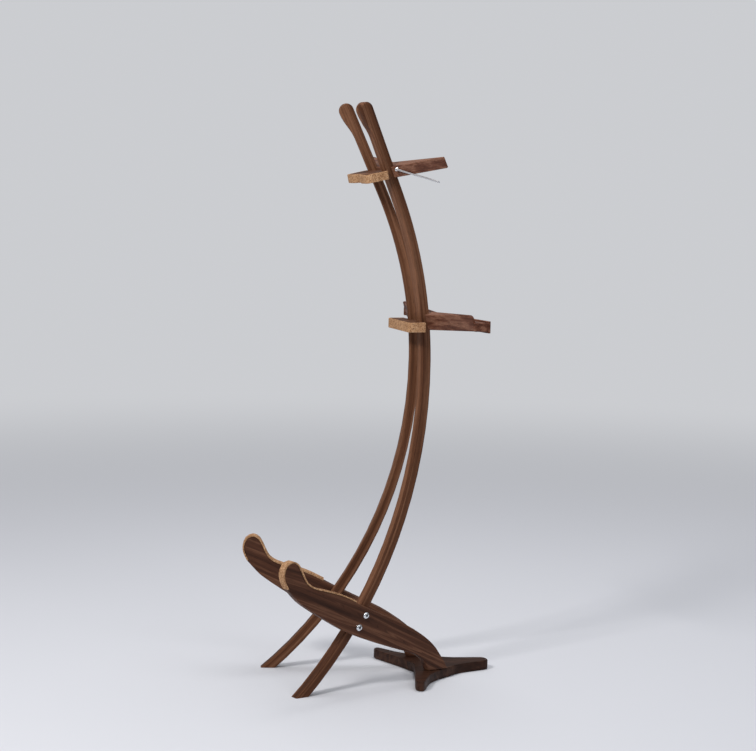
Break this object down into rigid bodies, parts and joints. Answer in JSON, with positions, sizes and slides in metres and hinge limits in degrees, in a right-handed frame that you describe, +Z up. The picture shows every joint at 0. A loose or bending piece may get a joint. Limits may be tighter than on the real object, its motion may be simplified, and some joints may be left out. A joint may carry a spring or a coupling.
{
  "type": "cello stand",
  "caption": "Freestanding walnut cello stand with bent legs, hooked cork-edged cradle arms, a lobed rear foot and a music desk with swinging page rods.",
  "frame": {"origin": "on the floor, under the middle of the stand's bounding box", "axes": "+Z up, +Y from the cello's side towards the reader's side, +X to the right of the legs seen from the cello's side"},
  "size_m": [0.474, 0.5284, 1.2499],
  "materials": {
    "walnut": "satin oiled walnut",
    "cork": "matte cork",
    "bright_steel": "bright",
    "plain_steel": "plain",
    "brass": "turned"
  },
  "bodies": {
    "stand": {"rear_foot": "walnut", "neck_rest": "walnut", "back_rest": "walnut", "desk_header": "walnut", "desk_rail": "walnut", "desk_shelf": "walnut", "leg_right": "walnut", "leg_left": "walnut", "cradle_arm_right": "walnut", "cradle_arm_left": "walnut", "desk_lip_right": "walnut", "desk_lip_left": "walnut", "neck_rest_cork": "cork", "back_rest_cork": "cork", "bow_slot_cork": "cork", "cradle_cork_right": "cork", "cradle_cork_left": "cork", "arm_bolt_right_1": "bright_steel", "arm_bolt_right_2": "bright_steel", "arm_bolt_left_1": "bright_steel", "arm_bolt_left_2": "bright_steel", "rod_washer_right": "bright_steel", "rod_washer_left": "bright_steel", "rod_pivot_screw_right": "bright_steel", "rod_pivot_screw_left": "bright_steel", "neck_rest_screw_right": "plain_steel", "neck_rest_screw_left": "plain_steel", "back_rest_screw_right": "plain_steel", "back_rest_screw_left": "plain_steel", "header_screw_right": "plain_steel", "header_screw_left": "plain_steel", "rail_screw_right": "plain_steel", "rail_screw_left": "plain_steel", "foot_screw_right_1": "plain_steel", "foot_screw_right_2": "plain_steel", "foot_screw_left_1": "plain_steel", "foot_screw_left_2": "plain_steel", "shelf_screw_right_1": "plain_steel", "shelf_screw_right_2": "plain_steel", "shelf_screw_left_1": "plain_steel", "shelf_screw_left_2": "plain_steel", "threaded_insert_right_1": "brass", "threaded_insert_right_2": "brass", "threaded_insert_left_1": "brass", "threaded_insert_left_2": "brass"},
    "right_page_rod": {"page_rod_right": "bright_steel"},
    "left_page_rod": {"page_rod_left": "bright_steel"}
  },
  "joints": [
    {"name": "right_page_rod_swing", "type": "hinge", "parent": "stand", "child": "right_page_rod", "pos_m": [0.08501, 0.00109, 1.11012], "axis": [0.3083, -0.8755, -0.372], "range_deg": [-70, 19]},
    {"name": "left_page_rod_swing", "type": "hinge", "parent": "stand", "child": "left_page_rod", "pos_m": [-0.08501, 0.00109, 1.11012], "axis": [0.3083, 0.8755, 0.372], "range_deg": [-70, 19]}
  ]
}
